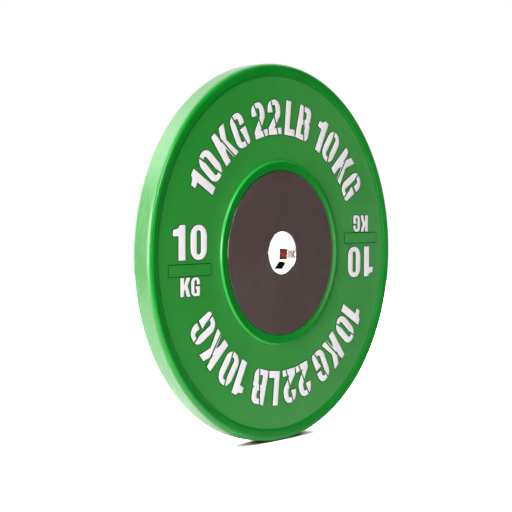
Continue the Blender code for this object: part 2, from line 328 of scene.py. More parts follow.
class Wiring:
    """Adds nodes to one node tree and joins them."""

    def __init__(self, tree: bpy.types.NodeTree) -> None:
        """Keep the tree that the nodes go into."""
        self.tree = tree

    def feed(self, socket: Socket, value: object) -> None:
        """Link an output to an input, or set the input's own value.

        Args:
            socket: The input.
            value: Another node's output, a number or a colour.
        """
        if isinstance(value, Socket):
            self.tree.links.new(value, socket)
        else:
            socket.default_value = value

    def add(self, kind: str, inputs: dict | None = None, **settings: object) -> bpy.types.Node:
        """Add a node.

        Args:
            kind: The node's type without its ShaderNode prefix.
            inputs: Values or sockets by input name or number.
            settings: The node's own options.

        Returns:
            The new node.
        """
        node = self.tree.nodes.new("ShaderNode" + kind)
        for key, value in settings.items():
            setattr(node, key, value)
        for key, value in (inputs or {}).items():
            self.feed(node.inputs[key], value)
        return node

    def math(self, operation: str, first: object, second: object) -> Socket:
        """The result of one Math node."""
        return self.add("Math", {0: first, 1: second}, operation=operation).outputs[0]

    def plus(self, first: object, second: object) -> Socket:
        """The sum of two values."""
        return self.math("ADD", first, second)

    def minus(self, first: object, second: object) -> Socket:
        """The first value less the second."""
        return self.math("SUBTRACT", first, second)

    def times(self, first: object, second: object) -> Socket:
        """The product of two values."""
        return self.math("MULTIPLY", first, second)

    def most(self, first: object, second: object) -> Socket:
        """The larger of two values."""
        return self.math("MAXIMUM", first, second)

    def spread(self, value: object, low: float, high: float, to_low: object = 0.0,
               to_high: object = 1.0) -> Socket:
        """A value carried smoothly from one range to another.

        Args:
            value: The value.
            low: Where the first range starts.
            high: Where it ends.
            to_low: Where the second range starts.
            to_high: Where it ends.

        Returns:
            The carried value.
        """
        return self.add("MapRange", {"Value": value, "From Min": low, "From Max": high,
                                     "To Min": to_low, "To Max": to_high},
                        interpolation_type="SMOOTHSTEP").outputs[0]

    def between(self, share: object, low: float, high: float) -> Socket:
        """A number that goes smoothly from low to high as a share goes from 0 to 1."""
        return self.spread(share, 0.0, 1.0, low, high)

    def blend(self, share: object, first: object, second: object) -> Socket:
        """Two colours mixed by a share from 0 to 1."""
        inputs = {0: share, 6: full(first), 7: full(second)}
        return self.add("Mix", inputs, data_type="RGBA").outputs[2]

    def choose(self, share: object, first: object, second: object) -> Socket:
        """Two numbers mixed by a share from 0 to 1."""
        return self.add("Mix", {0: share, 2: first, 3: second}, data_type="FLOAT").outputs[0]

    def switch(self, share: object, first: object, second: object) -> Socket:
        """Two shaders mixed by a share from 0 to 1."""
        return self.add("MixShader", {0: share, 1: first, 2: second}).outputs[0]

    def noise(self, vector: object, scale: object, detail: float) -> Socket:
        """The value of a noise texture."""
        return self.add("TexNoise", {"Vector": vector, "Scale": scale,
                                     "Detail": detail}).outputs[0]

    def place(self) -> Socket:
        """The piece's own coordinates, in metres."""
        return self.add("TexCoord").outputs["Object"]

    def parts(self, vector: object) -> list[Socket]:
        """The X, Y and Z of a vector."""
        return list(self.add("SeparateXYZ", {0: vector}).outputs)

    def vector(self, x: object, y: object, z: object = 0.0) -> Socket:
        """A vector made of its X, Y and Z."""
        return self.add("CombineXYZ", {0: x, 1: y, 2: z}).outputs[0]

    def length(self, vector: object) -> Socket:
        """The length of a vector."""
        return self.add("VectorMath", {0: vector}, operation="LENGTH").outputs["Value"]

    def radius(self, spot: object) -> Socket:
        """A spot's distance from the bore's axis: the length of its X and Z."""
        x, _, z = self.parts(spot)
        return self.length(self.vector(x, z))


def full(colour: object) -> object:
    """A colour with its alpha; a socket passes unchanged."""
    return (*colour, 1.0) if isinstance(colour, tuple) and len(colour) == 3 else colour


def emptied(owner: Material | bpy.types.World) -> Wiring:
    """Give a material or the world a node tree with nothing in it.

    Args:
        owner: The material or world.

    Returns:
        The tree's wiring.
    """
    owner.use_nodes = True
    owner.node_tree.nodes.clear()
    return Wiring(owner.node_tree)


class EffectShelf:
    """Builds each shared effect once, as a node group, and places it in materials."""

    def __init__(self) -> None:
        """Start with an empty shelf and the maker of each effect."""
        self.groups: dict[Effect, bpy.types.NodeTree] = {}
        self.makers = {Effect.MOTTLE: self.make_mottle, Effect.SKIN: self.make_skin,
                       Effect.TURNING: self.make_turning, Effect.SCUFFS: self.make_scuffs,
                       Effect.RING: self.make_ring}

    def open_group(self, effect: Effect, numbers: tuple[str, ...], output: str
                   ) -> tuple[Wiring, list[Socket], Socket]:
        """Start a group with its sockets, the first of which is the spot it is read at.

        Args:
            effect: The effect, whose value names the group.
            numbers: Names of the inputs that follow the spot.
            output: The name of the group's one value.

        Returns:
            The group's wiring, its inputs to read and its output to feed.
        """
        tree = bpy.data.node_groups.new(effect.value, "ShaderNodeTree")
        tree.interface.new_socket("spot", in_out="INPUT", socket_type="NodeSocketVector")
        for label in numbers:
            tree.interface.new_socket(label, in_out="INPUT", socket_type="NodeSocketFloat")
        tree.interface.new_socket(output, in_out="OUTPUT", socket_type="NodeSocketFloat")
        source = tree.nodes.new("NodeGroupInput")
        sink = tree.nodes.new("NodeGroupOutput")
        self.groups[effect] = tree
        return Wiring(tree), [source.outputs[label] for label in ("spot", *numbers)], sink.inputs[0]

    def make_mottle(self) -> None:
        """Soft cloudy patches with finer ones in them."""
        wire, (spot, coarse, fine), mask = self.open_group(
            Effect.MOTTLE, ("coarse", "fine"), "mask")
        cloud_share = 0.65
        clouds = wire.times(wire.noise(spot, coarse, detail=1.0), cloud_share)
        specks = wire.times(wire.noise(spot, fine, detail=3.0), 1.0 - cloud_share)
        wire.feed(mask, wire.spread(wire.plus(clouds, specks), low=0.36, high=0.64))

    def make_skin(self) -> None:
        """The fine orange-peel grain of a moulded surface, with a few small pits."""
        wire, (spot, grain, pits), height = self.open_group(
            Effect.SKIN, ("grain", "pits"), "height")
        pits_per_grain = 0.12
        cells = wire.add("TexVoronoi", {"Vector": spot,
                                        "Scale": wire.times(grain, pits_per_grain)})
        unpitted = wire.spread(cells.outputs["Distance"], low=0.03, high=0.12)
        depth = wire.times(wire.minus(1.0, unpitted), pits)
        wire.feed(height, wire.minus(wire.noise(spot, grain, detail=2.0), depth))

    def make_turning(self) -> None:
        """The fine rings that a lathe tool leaves: noise that runs with the radius."""
        wire, (spot, fineness), height = self.open_group(Effect.TURNING, ("fineness",), "height")
        x, y, z = wire.parts(spot)
        change_round = 1.5
        bearing = wire.times(wire.math("ARCTAN2", z, x), change_round)
        unrolled = wire.vector(wire.times(wire.radius(spot), fineness), bearing,
                               wire.times(y, fineness))
        wire.feed(height, wire.noise(unrolled, 1.0, detail=2.0))

    def make_scuffs(self) -> None:
        """Short rubbed streaks where a stretched noise passes a level."""
        wire, (spot, scale, level), mask = self.open_group(
            Effect.SCUFFS, ("scale", "level"), "mask")
        stretch, patch_scale, patch_share, fade = (1.0, 5.0, 1.6), 12.0, 0.5, 0.08
        stretched = wire.add("VectorMath", {0: spot, 1: stretch}, operation="MULTIPLY")
        streaks = wire.noise(stretched.outputs[0], scale, detail=5.0)
        patches = wire.minus(wire.noise(spot, patch_scale, detail=1.0), 0.5)
        total = wire.plus(streaks, wire.times(patches, patch_share))
        wire.feed(mask, wire.spread(wire.minus(total, level), low=0.0, high=fade))

    def make_ring(self) -> None:
        """A band round the bore's axis between two radii, with soft edges."""
        wire, (spot, inner, outer, soft), mask = self.open_group(
            Effect.RING, ("inner", "outer", "soft"), "mask")
        radius = wire.radius(spot)
        nearest = wire.math("MINIMUM", wire.minus(radius, inner), wire.minus(outer, radius))
        inside = wire.math("DIVIDE", nearest, soft)
        wire.feed(mask, wire.spread(inside, low=-1.0, high=1.0))

    def use(self, wire: Wiring, effect: Effect, inputs: dict[str, object]) -> Socket:
        """Place an effect in a material.

        Args:
            wire: The material's wiring.
            effect: The effect to place.
            inputs: Its spot and numbers in this material.

        Returns:
            The effect's output.
        """
        if effect not in self.groups:
            self.makers[effect]()
        node = wire.add("Group", node_tree=self.groups[effect])
        for label, value in inputs.items():
            wire.feed(node.inputs[label], value)
        return node.outputs[0]


class Bench:
    """One material in the making: its shader, its wiring and the effects that it takes."""

    def __init__(self, name: str, shelf: EffectShelf) -> None:
        """Open a new material with a Principled shader.

        Args:
            name: The material's name.
            shelf: The shared effects.
        """
        self.made = bpy.data.materials.new(name)
        self.made.use_nodes = True
        self.shader = self.made.node_tree.nodes["Principled BSDF"]
        self.wire = Wiring(self.made.node_tree)
        self.spot = self.wire.place()
        self.shelf = shelf

    def effect(self, effect: Effect, **numbers: float) -> Socket:
        """A shared effect, read at the piece's own coordinates."""
        return self.shelf.use(self.wire, effect, {"spot": self.spot, **numbers})

    def finished(self, colour: object, roughness: object, height: Socket, strength: float,
                 depth: float, metallic: object = 0.0, gloss: float = 0.5) -> Material:
        """Feed the shader.

        Args:
            colour: Its base colour.
            roughness: Its roughness.
            height: The height of its bumps.
            strength: How strong they are.
            depth: How deep they are, in metres.
            metallic: How far it is a metal.
            gloss: Its specular level.

        Returns:
            The finished material.
        """
        bump = self.wire.add("Bump", {"Strength": strength, "Distance": depth, "Height": height})
        for label, value in (("Base Color", colour), ("Roughness", roughness),
                             ("Metallic", metallic), ("Specular IOR Level", gloss),
                             ("Normal", bump.outputs["Normal"])):
            self.wire.feed(self.shader.inputs[label], value)
        return self.made


@dataclass(frozen=True)
class RubberFinish:
    """Satin green rubber from a mould.

    The flat field is hazy, and paler and greener towards +X, where painted sheen is mixed into
    the haze; the haze fades out about a millimetre inside the rim's foot, which leaves the crease
    darker as painted shade. The rounded lip and rim are clean and deep. The lip's crest and outer
    wall and the rim's corner are mixed towards a bright green, a painted highlight for the light
    that they catch. The tread is dusty, with painted sheen in its dust's red, and rubbed paler in
    streaks.
    """

    name: str = "green_rubber_finish"
    deep: Triple = (0.0010, 0.133, 0.008)
    bright: Triple = (0.0015, 0.150, 0.011)
    thin_haze: Triple = (0.001, 0.154, 0.006)
    # haze at +X, paler and greener because painted sheen is mixed into real haze
    haze_and_painted_sheen: Triple = (0.036, 0.204, 0.040)
    sheen_start_x: float = -0.20
    sheen_full_x: float = 0.22
    # the tread's dust, real dust whose red also holds painted sheen
    tread_dust_and_sheen: Triple = (0.030, 0.132, 0.030)
    rubbed: Triple = (0.050, 0.240, 0.060)
    # painted highlight: a bright green for the lip's outer wall and the rim's corner, standing in
    # for the light they catch
    painted_light_green: Triple = (0.004, 0.350, 0.034)
    lit_lip_inner: float = 0.1083
    lit_lip_outer: float = 0.1112
    field_inner: float = 0.1116
    # the haze ends about a millimetre inside the rim's foot, so the crease stays darker: painted
    # shade
    field_outer_crease_shade: float = 0.2090
    lit_corner_inner: float = 0.2216
    tread_inner: float = 0.2238
    field_soft: float = 0.0012
    tread_soft: float = 0.00096
    lit_band_soft: float = 0.0006
    thin_dust: float = 0.80
    lit_corner_share: float = 0.7
    lit_band_dust_share: float = 0.5
    streak_share: float = 0.25
    clean_roughness: float = 0.21
    dusty_roughness: float = 0.42
    gloss: float = 0.5

    def material(self, shelf: EffectShelf) -> Material:
        """Build the material.

        Args:
            shelf: The shared effects.

        Returns:
            The material.
        """
        bench = Bench(self.name, shelf)
        wire = bench.wire
        mottle = bench.effect(Effect.MOTTLE, coarse=16.0, fine=150.0)
        scuffs = bench.effect(Effect.SCUFFS, scale=45.0, level=0.60)
        skin = bench.effect(Effect.SKIN, grain=1100.0, pits=0.15)
        field, tread, lip, corner = (
            bench.effect(Effect.RING, inner=inner, outer=outer, soft=soft)
            for inner, outer, soft in (
                (self.field_inner, self.field_outer_crease_shade, self.field_soft),
                (self.tread_inner, BEYOND, self.tread_soft),
                (self.lit_lip_inner, self.lit_lip_outer, self.lit_band_soft),
                (self.lit_corner_inner, BEYOND, self.lit_band_soft)))
        # painted highlight: the lip's crest and outer wall and the rim's corner are mixed towards a
        # bright green that stands in for the light they catch
        painted_light_band = wire.most(lip, wire.times(corner, self.lit_corner_share))
        dust_or_lit_share = wire.most(wire.most(field, tread), wire.times(painted_light_band, self.lit_band_dust_share))
        dust_or_lit_share = wire.times(dust_or_lit_share, wire.between(mottle, self.thin_dust, 1.0))
        clean = wire.blend(mottle, self.deep, self.bright)
        # painted sheen: the haze grows paler and greener towards +X
        across = wire.spread(wire.parts(bench.spot)[0], self.sheen_start_x, self.sheen_full_x)
        haze_and_sheen = wire.blend(across, self.thin_haze, self.haze_and_painted_sheen)
        dust_haze_and_painted_light = wire.blend(tread, wire.blend(painted_light_band, haze_and_sheen, self.painted_light_green), self.tread_dust_and_sheen)
        worn = wire.times(wire.times(scuffs, tread), self.streak_share)
        colour = wire.blend(worn, wire.blend(dust_or_lit_share, clean, dust_haze_and_painted_light), self.rubbed)
        roughness = wire.between(dust_or_lit_share, self.clean_roughness, self.dusty_roughness)
        return bench.finished(colour, roughness, skin, strength=0.10, depth=0.0004,
                              gloss=self.gloss)


@dataclass(frozen=True)
class FigurePaint:
    """Off-white paint on the raised figures, thin enough to show specks of what is under it."""

    clean: Triple = (0.605, 0.560, 0.585)
    soiled: Triple = (0.430, 0.450, 0.440)
    cloud_share: float = 0.22
    speck_share: float = 0.5
    clean_roughness: float = 0.48
    soiled_roughness: float = 0.60
    gloss: float = 0.3

    def material(self, shelf: EffectShelf) -> Material:
        """Build the material.

        Args:
            shelf: The shared effects.

        Returns:
            The material.
        """
        bench = Bench("figure_paint_finish", shelf)
        wire = bench.wire
        mottle = bench.effect(Effect.MOTTLE, coarse=180.0, fine=900.0)
        specks = bench.effect(Effect.SCUFFS, scale=260.0, level=0.64)
        skin = bench.effect(Effect.SKIN, grain=1400.0, pits=0.2)
        share = wire.most(wire.times(mottle, self.cloud_share),
                          wire.times(specks, self.speck_share))
        roughness = wire.between(mottle, self.clean_roughness, self.soiled_roughness)
        return bench.finished(wire.blend(share, self.clean, self.soiled), roughness, skin,
                              strength=0.15, depth=0.0003, gloss=self.gloss)


@dataclass(frozen=True)
class DiscFinish:
    """Dark plated steel, faced on a lathe, with the plating worn bright on its bevelled edge."""

    plating: Triple = (0.058, 0.038, 0.035)
    faded: Triple = (0.068, 0.047, 0.044)
    bare: Triple = (0.160, 0.140, 0.125)
    edge_radius: float = 0.0978
    edge_soft: float = 0.0001
    edge_share: float = 0.85
    scuff_share: float = 0.04
    edge_polish: float = 0.30
    plated_roughness: float = 0.50
    faded_roughness: float = 0.58
    plated_metallic: float = 0.25
    gloss: float = 0.25

    def material(self, shelf: EffectShelf) -> Material:
        """Build the material.

        Args:
            shelf: The shared effects.

        Returns:
            The material.
        """
        bench = Bench("dark_plate_finish", shelf)
        wire = bench.wire
        mottle = bench.effect(Effect.MOTTLE, coarse=14.0, fine=90.0)
        scuffs = bench.effect(Effect.SCUFFS, scale=90.0, level=0.70)
        rings = bench.effect(Effect.TURNING, fineness=2200.0)
        edge = bench.effect(Effect.RING, inner=self.edge_radius, outer=BEYOND, soft=self.edge_soft)
        worn = wire.most(wire.times(edge, self.edge_share), wire.times(scuffs, self.scuff_share))
        colour = wire.blend(worn, wire.blend(mottle, self.plating, self.faded), self.bare)
        roughness = wire.minus(
            wire.between(mottle, self.plated_roughness, self.faded_roughness),
            wire.times(edge, self.edge_polish))
        return bench.finished(colour, roughness, rings, strength=0.08, depth=0.0002,
                              metallic=wire.between(edge, self.plated_metallic, 1.0),
                              gloss=self.gloss)


@dataclass(frozen=True)
class SteelFinish:
    """Bare or blackened steel with the marks of the tool that turned it."""

    name: str
    light: Triple
    shade: Triple
    smooth: float
    rough: float
    fineness: float
    mark_strength: float
    mark_depth: float = 0.0001

    def material(self, shelf: EffectShelf) -> Material:
        """Build the material.

        Args:
            shelf: The shared effects.

        Returns:
            The material.
        """
        bench = Bench(self.name, shelf)
        wire = bench.wire
        mottle = bench.effect(Effect.MOTTLE, coarse=60.0, fine=400.0)
        rings = bench.effect(Effect.TURNING, fineness=self.fineness)
        uneven = wire.times(wire.plus(mottle, rings), 0.5)
        roughness = wire.spread(uneven, low=0.2, high=0.8, to_low=self.smooth,
                                to_high=self.rough)
        return bench.finished(wire.blend(mottle, self.light, self.shade), roughness, rings,
                              self.mark_strength, self.mark_depth, metallic=1.0)


@dataclass(frozen=True)
class StageFinish:
    """A white floor, washed out to the camera as in an overexposed studio.

    Mirrored, it is bright behind the plate, fair close in front of it and dark further off. Its
    contact shadow deepens with the share of nearby sky that the plate hides.
    """

    seen: Triple = (5.0, 4.9, 4.7)
    shadow_reach: float = 0.018
    shadow_power: float = 1.7
    shadow_samples: int = 8
    bounce_near: float = 1.20
    bounce_far: float = 0.30
    bounce_start: float = 0.3
    mirrored_behind: float = 3.4
    mirrored_right: float = 0.16
    mirrored_near: float = 0.8
    mirrored_far: float = 0.03
    mirrored_front_right: float = 0.2
    near: float = 0.4
    far: float = 1.2
    front_fade_x: tuple[float, float] = (0.05, 0.35)
    behind_fade_x: tuple[float, float] = (0.0, 0.3)
    behind_start_y: tuple[float, float] = (-0.04, 0.08)

    def grey(self, wire: Wiring, level: Socket) -> Socket:
        """A diffuse shader in a grey of the given level."""
        return wire.add("BsdfDiffuse", {"Color": wire.vector(level, level, level)}).outputs[0]

    def material(self) -> Material:
        """Build the material, with a diffuse for the camera, for mirrors and for other rays.

        Returns:
            The material.
        """
        made = bpy.data.materials.new("studio_floor_finish")
        wire = emptied(made)
        path = wire.add("LightPath").outputs
        spot = wire.place()
        x, y, _ = wire.parts(spot)
        reach = wire.length(spot)
        sky = wire.add("AmbientOcclusion", {"Distance": self.shadow_reach},
                       samples=self.shadow_samples).outputs["AO"]
        front = wire.times(wire.spread(x, *self.front_fade_x, 1.0, self.mirrored_front_right),
                           wire.spread(reach, self.near, self.far, self.mirrored_near,
                                       self.mirrored_far))
        behind = wire.times(wire.spread(x, *self.behind_fade_x, 1.0, self.mirrored_right),
                            wire.spread(y, *self.behind_start_y, 0.0, self.mirrored_behind))
        mirrored = self.grey(wire, wire.times(wire.most(front, behind), sky))
        plain = self.grey(wire, wire.spread(reach, self.bounce_start, self.far, self.bounce_near,
                                            self.bounce_far))
        lit = wire.add("VectorMath", {0: self.seen,
                                      "Scale": wire.math("POWER", sky, self.shadow_power)},
                       operation="SCALE")
        shown = wire.add("BsdfDiffuse", {"Color": lit.outputs[0]}).outputs[0]
        other = wire.switch(path["Is Glossy Ray"], plain, mirrored)
        wire.add("OutputMaterial", {"Surface": wire.switch(path["Is Camera Ray"], other, shown)})
        return made


@dataclass(frozen=True)
class CardFinish:
    """A studio card that glows, paler in its middle: a painted glow in place of light falling on
    it.
    """

    name: str
    middle: Triple
    edge: Triple
    reach: float = 0.5
    flat: float = 0.05

    def material(self) -> Material:
        """Build the material: an emission whose colour fades with the distance from the card's
        centre, a painted glow.

        Returns:
            The material.
        """
        made = bpy.data.materials.new(self.name)
        wire = emptied(made)
        here, centre = wire.add("TexCoord").outputs["UV"], (0.5, 0.5, 0.0)
        span = wire.add("VectorMath", {0: here, 1: centre}, operation="SUBTRACT")
        away = wire.spread(wire.length(span.outputs[0]), self.flat, self.reach)
        glow = wire.add("Emission", {"Color": wire.blend(away, self.middle, self.edge)})
        wire.add("OutputMaterial", {"Surface": glow.outputs[0]})
        return made


@dataclass
class Wardrobe:
    """Every material of the scene, made once."""

    shelf: EffectShelf = field(default_factory=EffectShelf)

    def __post_init__(self) -> None:
        """Build the materials."""
        self.rubber = RubberFinish().material(self.shelf)
        # Near-black green for the walls of the figures and bars: painted shade for their shadows
        # and dark outlines.
        self.shaded_wall = RubberFinish(
            "figure_wall_finish", deep=(0.0006, 0.030, 0.003), bright=(0.0008, 0.036, 0.004),
            thin_haze=(0.0010, 0.040, 0.004), haze_and_painted_sheen=(0.0020, 0.048, 0.006),
            gloss=0.05).material(self.shelf)
        self.paint = FigurePaint().material(self.shelf)
        self.disc = DiscFinish().material(self.shelf)
        self.honed = SteelFinish(
            "honed_steel_finish", light=(0.86, 0.86, 0.85), shade=(0.78, 0.78, 0.77),
            smooth=0.20, rough=0.26, fineness=3000.0, mark_strength=0.04).material(self.shelf)
        self.polished = SteelFinish(
            "polished_steel_finish", light=(0.88, 0.88, 0.87), shade=(0.82, 0.82, 0.81),
            smooth=0.02, rough=0.06, fineness=3000.0, mark_strength=0.02).material(self.shelf)
        self.core = SteelFinish(
            "raw_steel_finish", light=(0.32, 0.32, 0.33), shade=(0.24, 0.235, 0.23),
            smooth=0.38, rough=0.55, fineness=1200.0, mark_strength=0.30).material(self.shelf)
        self.screw = SteelFinish(
            "screw_steel_finish", light=(0.075, 0.075, 0.080), shade=(0.050, 0.048, 0.050),
            smooth=0.30, rough=0.46, fineness=2600.0, mark_strength=0.15).material(self.shelf)


def finish_piece(made: Object, materials: list[Material],
                 replaced: tuple[str, ...] = ()) -> None:
    """Dress a piece, let it ride on the plate and hide the nodes that it stands for.

    Args:
        made: The piece, already in place.
        materials: Its materials in slot order.
        replaced: CAD nodes that it stands for.
    """
    for material in materials:
        made.data.materials.append(material)
    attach(made, BODY)
    if replaced:
        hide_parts(*replaced)


@dataclass
class RubberRing:
    """The moulded ring: tread, raised rim, sunk field and the lip round the hub."""

    corner_radius: float = 0.0054
    rim_width: float = 0.0150
    riser_width: float = 0.0036
    riser_height: float = 0.0014
    field_depth: float = FIELD_DEPTH
    field_rows: tuple[float, ...] = (0.130, 0.150, 0.175, 0.200)
    lip_offset: float = 0.0104
    lip_slope: float = 0.0022
    lip_depth: float = 0.0134
    lip_drop: float = 0.0011
    mouth_round: float = 0.0006
    pocket_gap: float = 0.0003
    groove_reach: float = 0.0215
    groove_depth: float = 0.0050
    curve_steps: int = 10
    wall_steps: int = 14
    slope_steps: int = 7
    corner_steps: int = 24
    steps: int = 360

    def front_profile(self) -> np.ndarray:
        """The front of the section, from the hub pocket out to the tread.

        Level runs are straight, the lip and the rim's riser are S curves, a straight slope
        leads from the riser to the crest, and a quarter circle turns it into the tread.

        Returns:
            The (radius, depth) points.
        """
        low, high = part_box("rubber_body")
        outer, rim_depth = high.x, -low.y
        hub_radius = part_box("front_disc")[1].x
        pocket, third = hub_radius + self.pocket_gap, self.mouth_round / 3
        start = (pocket + self.mouth_round, self.lip_depth - self.lip_drop)
        lip = (hub_radius + self.lip_offset, self.lip_depth)
        foot = (lip[0] + self.lip_slope, self.field_depth)
        edge = (outer - self.rim_width, self.field_depth)
        ledge = (edge[0] + self.riser_width, self.field_depth + self.riser_height)
        crest = (outer - self.corner_radius, rim_depth)
        turn = np.linspace(np.pi / 2, 0, self.corner_steps + 1)[1:, None]
        centre = np.array([(crest[0], rim_depth - self.corner_radius)])
        corner = centre + self.corner_radius * np.concatenate([np.cos(turn), np.sin(turn)], axis=1)
        return np.concatenate([
            [(pocket, start[1] - self.mouth_round), (pocket + third, start[1] - third), start],
            eased(start, lip, self.curve_steps), eased(lip, foot, self.wall_steps),
            [(radius, self.field_depth) for radius in self.field_rows], [edge],
            eased(edge, ledge, self.curve_steps),
            np.linspace(ledge, crest, self.slope_steps + 1)[1:], corner])

    def profile(self) -> np.ndarray:
        """The whole section: front, rear and the groove that the steel core's flange fills.

        Returns:
            The (radius, depth) points of the closed section.
        """
        front = self.front_profile()
        pocket = front[0, 0]
        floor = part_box("front_disc")[1].x + self.groove_reach
        groove = np.array([(pocket, -self.groove_depth), (floor, -self.groove_depth),
                           (floor, self.groove_depth), (pocket, self.groove_depth)])
        return np.concatenate([front, front[::-1] * FRONT_TO_REAR, groove])

    def build(self, wardrobe: Wardrobe) -> None:
        """Make the ring."""
        made = make_object("rubber_ring", *turned(self.profile(), self.steps))
        finish_piece(made, [wardrobe.rubber], ("rubber_body",))


@dataclass
class Hub:
    """The two dark discs, the bright bore bushes, and the screws and plugs of the rear disc."""

    bevel: float = 0.0005
    face_margin: float = 0.0025
    flange: float = 0.0060
    spigot: float = 0.0450
    bush_wall: float = 0.0012
    bush_chamfer: float = 0.0008
    bush_seam_run: float = 0.0004
    bush_mouth_run: float = 0.0005
    gap: float = 0.0003
    recess: float = 0.0002
    screw_radius: float = 0.0040
    screw_head: float = 0.0080
    screw_head_edge: float = 0.0005
    screw_head_bevel: float = 0.0002
    screw_neck_bevel: float = 0.0003
    screw_length: float = 0.0200
    screw_socket: float = 0.0025
    screw_socket_depth: float = 0.0028
    tip_bevel: float = 0.0006
    tap_depth: float = 0.0015
    boss_radius: float = 0.0080
    boss_length: float = 0.0080
    plug_radius: float = 0.0100
    plug_bevel: float = 0.0004
    plug_foot_bevel: float = 0.0003
    plug_socket: float = 0.0040
    plug_socket_depth: float = 0.0030
    socket_bevel: float = 0.0003
    socket_floor_share: float = 0.5
    socket_face_share: float = 1.5
    steps: int = 288
    bush_steps: int = 192
    small_steps: int = 48
    screws: int = 8
    plugs: int = 2

    def __post_init__(self) -> None:
        """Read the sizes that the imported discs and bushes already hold."""
        low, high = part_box("front_disc")
        self.radius, self.face = high.x, -low.y
        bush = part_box("front_bush")[1].x
        self.bore, self.disc_bore = bush - self.bush_wall, bush + self.gap
        self.back = self.face - self.flange
        self.boss_end = self.back - self.boss_length
        self.top = -self.face + self.recess
        self.tip = self.top + self.screw_length

    def spots(self, stem: str, count: int) -> list[tuple[float, float]]:
        """The (X, Z) centre of each numbered node.

        Args:
            stem: The nodes' name without its number.
            count: How many there are.

        Returns:
            The centres in order.
        """
        boxes = [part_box(f"{stem}_{number}") for number in range(1, count + 1)]
        return [((low.x + high.x) / 2, (low.z + high.z) / 2) for low, high in boxes]

    def disc_profile(self) -> np.ndarray:
        """A disc with its face to the front: bevelled flange, and a spigot to the mid plane.

        Returns:
            The (radius, depth) points of the closed section.
        """
        return filleted([
            (self.disc_bore, self.face, 0.0), (self.radius - self.face_margin, self.face, 0.0),
            (self.radius - self.bevel, self.face, 0.0004),
            (self.radius, self.face - self.bevel, 0.0003), (self.radius, self.back, 0.0002),
            (self.spigot, self.back, 0.0005), (self.spigot, self.gap / 2, 0.0003),
            (self.disc_bore, self.gap / 2, 0.0)], steps=3)

    def build_front_disc(self, wardrobe: Wardrobe) -> None:
        """The plain disc, with a tapped boss behind it for each screw.

        Args:
            wardrobe: The scene's materials.
        """
        spots = self.spots("hub_screw", self.screws)
        boss = rod(self.boss_radius, self.back + CUT_OVERRUN, self.boss_end)
        hole = rod(self.screw_radius + self.gap, self.tip + self.tap_depth,
                   self.boss_end - CUT_OVERRUN)
        body = make_object("blank", *turned(self.disc_profile(), self.steps))
        made = machined("hub_disc_front", body, [
            ("UNION", tool_at(boss, self.small_steps, spots)),
            ("DIFFERENCE", tool_at(hole, self.small_steps, spots))])
        finish_piece(made, [wardrobe.disc], ("front_disc",))

    def build_rear_disc(self, wardrobe: Wardrobe) -> None:
        """The same disc turned round, countersunk for the screws and bored for the plugs.

        Args:
            wardrobe: The scene's materials.
        """
        head, shank = self.screw_head + self.gap, self.screw_radius + self.gap
        edge = self.top + self.screw_head_edge
        low, high = -self.face - CUT_OVERRUN, -self.back + CUT_OVERRUN
        sink = np.array([(0, high), (shank, high), (shank, edge + head - shank), (head, edge),
                         (head, low), (0, low)])
        hole = rod(self.plug_radius + self.gap, high, low)
        profile = self.disc_profile()[::-1] * FRONT_TO_REAR
        body = make_object("blank", *turned(profile, self.steps))
        made = machined("hub_disc_rear", body, [
            ("DIFFERENCE", tool_at(sink, self.small_steps, self.spots("hub_screw", self.screws))),
            ("DIFFERENCE", tool_at(hole, self.small_steps,
                                   self.spots("calibration_plug", self.plugs)))])
        finish_piece(made, [wardrobe.disc], ("rear_disc",))

    def build_bushes(self, wardrobe: Wardrobe) -> None:
        """A bright bush from each face, with a rounded lead-in for the bar.

        Args:
            wardrobe: The scene's materials.
        """
        mouth = self.face - self.bush_chamfer
        outline = filleted([
            (self.bore + self.bush_chamfer, self.face, 0.0003),
            (self.bore + self.bush_wall, self.face, 0.0001),
            (self.bore + self.bush_wall, self.gap / 2, 0.0001),
            (self.bore, self.gap / 2, 0.00015),
            (self.bore, self.gap / 2 + self.bush_seam_run, 0.0),
            (self.bore, mouth - self.bush_mouth_run, 0.0), (self.bore, mouth, 0.0004)], steps=4)
        for node, side, steel in (("front_bush", Side.FRONT, wardrobe.honed),
                                  ("rear_bush", Side.REAR, wardrobe.polished)):
            profile = outline * np.array([1.0, side.value])
            made = make_object(f"bore_{node}", *turned(profile, self.bush_steps))
            finish_piece(made, [steel], (node,))

    def socket(self, key: float, depth: float, cone: float, lead: float) -> list[Triple]:
        """Rows of a hexagon socket: radius, depth, and how far the row is a hexagon.

        They start on the axis at the socket's floor, climb its walls and go out on the head.

        Args:
            key: Half the width of the hexagon over its flats.
            depth: How deep the socket is.
            cone: How much deeper it is on the axis.
            lead: The width of the bevel at its mouth.

        Returns:
            The rows in order.
        """
        floor = self.top + depth
        return [(0, floor + cone, 0),
                (key * self.socket_floor_share, floor + self.socket_bevel, 0), (key, floor, 1),
                (key, self.top + self.socket_bevel, 1), (key + lead, self.top, 1),
                (key * self.socket_face_share, self.top, 0)]

    def stand(self, name: str, stem: str, count: int, rows: list[Triple],
              wardrobe: Wardrobe) -> None:
        """Turn a fastener and stand one at each of its nodes.

        Args:
            name: The pieces' name without its number.
            stem: The nodes' name without its number.
            count: How many there are.
            rows: Radius, depth and share of a hexagon, from the socket's floor to the tip.
            wardrobe: The scene's materials.
        """
        table = np.array(rows)
        vertices, faces = turned(table[:, :2], self.small_steps, table[:, 2])
        for number, (x, z) in enumerate(self.spots(stem, count), 1):
            made = make_object(f"{name}_{number}", vertices + np.array([x, 0.0, z]), faces)
            finish_piece(made, [wardrobe.screw], (f"{stem}_{number}",))

